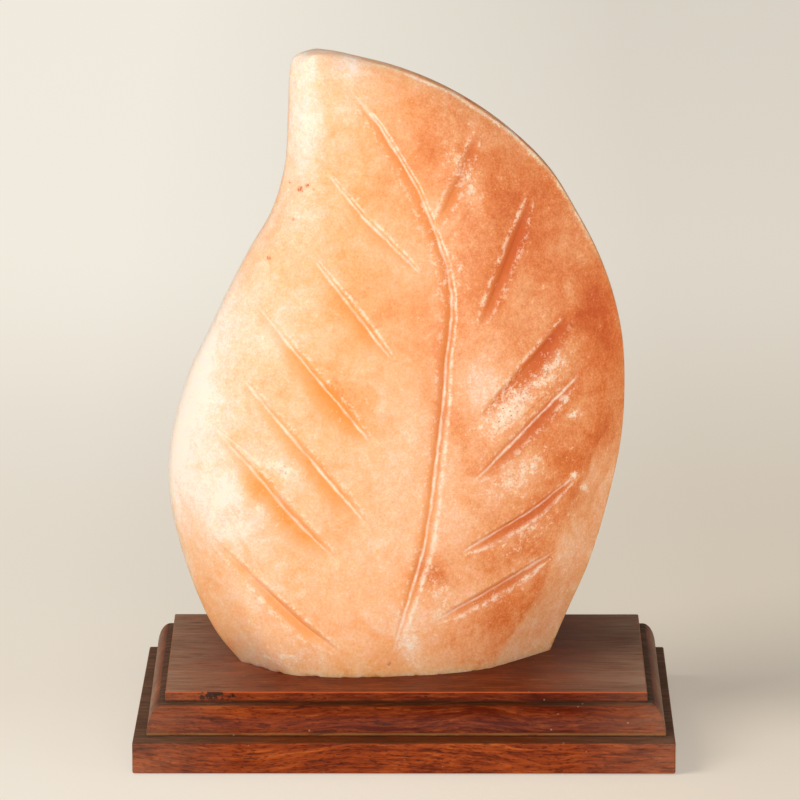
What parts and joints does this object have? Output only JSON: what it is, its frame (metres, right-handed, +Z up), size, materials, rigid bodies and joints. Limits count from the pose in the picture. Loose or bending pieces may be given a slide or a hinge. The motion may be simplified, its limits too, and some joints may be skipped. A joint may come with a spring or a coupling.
{
  "type": "salt crystal lamp",
  "caption": "Free-standing table lamp: a salt block carved as a broad veined leaf on a moulded wooden base, lit by a small bulb in a holder that clips in from below.",
  "frame": {"origin": "centre of the footprint on the surface that the lamp stands on", "axes": "+Z up, the carved front faces -Y, +X to the right seen from the front"},
  "size_m": [0.228, 0.152, 0.2953],
  "materials": {
    "salt_crystal": "hand-carved, satin polished, slightly translucent",
    "rosewood": "oiled, worn",
    "zinc_plated_steel": "zinc plated",
    "nylon": "moulded",
    "rubber": "moulded",
    "phenolic": "moulded",
    "porcelain": "glazed",
    "nickel_plated_brass": "nickel plated",
    "brass": "stamped",
    "spring_steel": "tempered strip",
    "bulb_glass": "clear",
    "black_glass": "black vitrite glass",
    "solder": "solder",
    "tungsten": "drawn wire",
    "nickel_wire": "drawn wire"
  },
  "bodies": {
    "base": {"salt_leaf": "salt_crystal", "upper_board": "rosewood", "plinth_board": "rosewood", "board_screws": "zinc_plated_steel", "salt_screws": "zinc_plated_steel", "salt_plugs": "nylon", "foot_pads": "rubber", "cord_grommet": "rubber"},
    "holder": {"holder_cap": "phenolic", "holder_skirt": "phenolic", "cord_gland": "nylon", "contact_carrier": "porcelain", "thread_shell": "nickel_plated_brass", "centre_contact": "brass", "side_contact": "brass", "terminal_screws": "brass", "clip_collar": "spring_steel", "clip_rivets": "zinc_plated_steel"},
    "clip_left": {"spring_clip_left": "spring_steel"},
    "clip_right": {"spring_clip_right": "spring_steel"},
    "bulb": {"bulb_glass": "bulb_glass", "bulb_cap": "nickel_plated_brass", "bulb_insulator": "black_glass", "bulb_contact": "solder", "bulb_stem": "bulb_glass", "filament": "tungsten", "lead_wires": "nickel_wire", "filament_supports": "nickel_wire"}
  },
  "joints": [
    {"name": "holder_slide", "type": "slide", "parent": "base", "child": "holder", "axis": [0, 0, -1], "range_m": [0, 0.1]},
    {"name": "bulb_turn", "type": "hinge", "parent": "holder", "child": "bulb", "pos_m": [-0.003, 0.001, 0.045], "axis": [0, 0, 1], "range_deg": [0, 1080]},
    {"name": "clip_left_flex", "type": "hinge", "parent": "holder", "child": "clip_left", "pos_m": [-0.0183, 0.001, 0.011], "axis": [0, 1, 0], "range_deg": [0, 6], "stiffness_Nm_per_rad": 0.5},
    {"name": "clip_right_flex", "type": "hinge", "parent": "holder", "child": "clip_right", "pos_m": [0.0123, 0.001, 0.011], "axis": [0, -1, 0], "range_deg": [0, 6], "stiffness_Nm_per_rad": 0.5}
  ]
}
